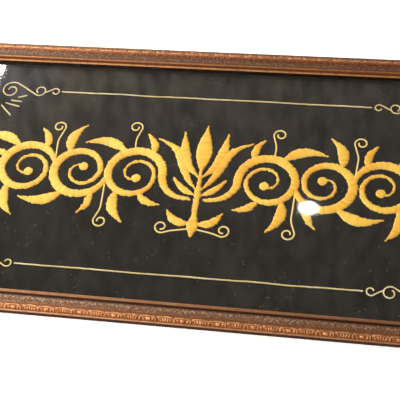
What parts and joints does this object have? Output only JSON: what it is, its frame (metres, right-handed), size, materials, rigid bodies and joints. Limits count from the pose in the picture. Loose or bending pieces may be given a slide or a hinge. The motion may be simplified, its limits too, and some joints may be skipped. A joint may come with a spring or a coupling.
{
  "type": "framed embroidered cloth panel in a moulded wood picture frame with glass",
  "caption": "Long low glazed picture frame of moulded wood around a dark stretched cloth with a gold satin stitched vine and a laid gold cord border with scrolled corners.",
  "frame": {"origin": "middle of the back plane of the frame, which rests on the surface", "axes": "+X along the long side, +Y towards the top rail, +Z out of the picture; the frame lies on its back"},
  "size_m": [0.619, 0.329, 0.0169],
  "materials": {
    "frame_wood": "bronze gold painted moulding, semi gloss, with a speckled brown channel",
    "glass": "clear, polished",
    "ground_cloth": "dark napped cloth, matt",
    "gold_satin": "lustrous golden silk satin stitch",
    "gold_cord": "twisted pale gold cord, soft sheen",
    "backing_board": "brown hardboard, matt"
  },
  "bodies": {
    "root": {"back_board": "backing_board", "border_line_bottom": "gold_cord", "border_line_left": "gold_cord", "border_line_right": "gold_cord", "border_line_top": "gold_cord", "border_scroll_bottom_left": "gold_cord", "border_scroll_bottom_right": "gold_cord", "border_scroll_left_bottom": "gold_cord", "border_scroll_left_top": "gold_cord", "border_scroll_right_bottom": "gold_cord", "border_scroll_right_top": "gold_cord", "border_scroll_top_left": "gold_cord", "border_scroll_top_right": "gold_cord", "flower": "gold_satin", "glass": "glass", "ground_cloth": "ground_cloth", "rail_bottom": "frame_wood", "rail_left": "frame_wood", "rail_right": "frame_wood", "rail_top": "frame_wood", "ray_bottom_left_1": "gold_cord", "ray_bottom_left_2": "gold_cord", "ray_bottom_left_3": "gold_cord", "ray_bottom_left_4": "gold_cord", "ray_bottom_left_5": "gold_cord", "ray_bottom_left_6": "gold_cord", "ray_bottom_left_7": "gold_cord", "ray_bottom_right_1": "gold_cord", "ray_bottom_right_2": "gold_cord", "ray_bottom_right_3": "gold_cord", "ray_bottom_right_4": "gold_cord", "ray_bottom_right_5": "gold_cord", "ray_bottom_right_6": "gold_cord", "ray_bottom_right_7": "gold_cord", "ray_top_left_1": "gold_cord", "ray_top_left_2": "gold_cord", "ray_top_left_3": "gold_cord", "ray_top_left_4": "gold_cord", "ray_top_left_5": "gold_cord", "ray_top_left_6": "gold_cord", "ray_top_left_7": "gold_cord", "ray_top_right_1": "gold_cord", "ray_top_right_2": "gold_cord", "ray_top_right_3": "gold_cord", "ray_top_right_4": "gold_cord", "ray_top_right_5": "gold_cord", "ray_top_right_6": "gold_cord", "ray_top_right_7": "gold_cord", "vine_left": "gold_satin", "vine_right": "gold_satin"}
  },
  "joints": []
}
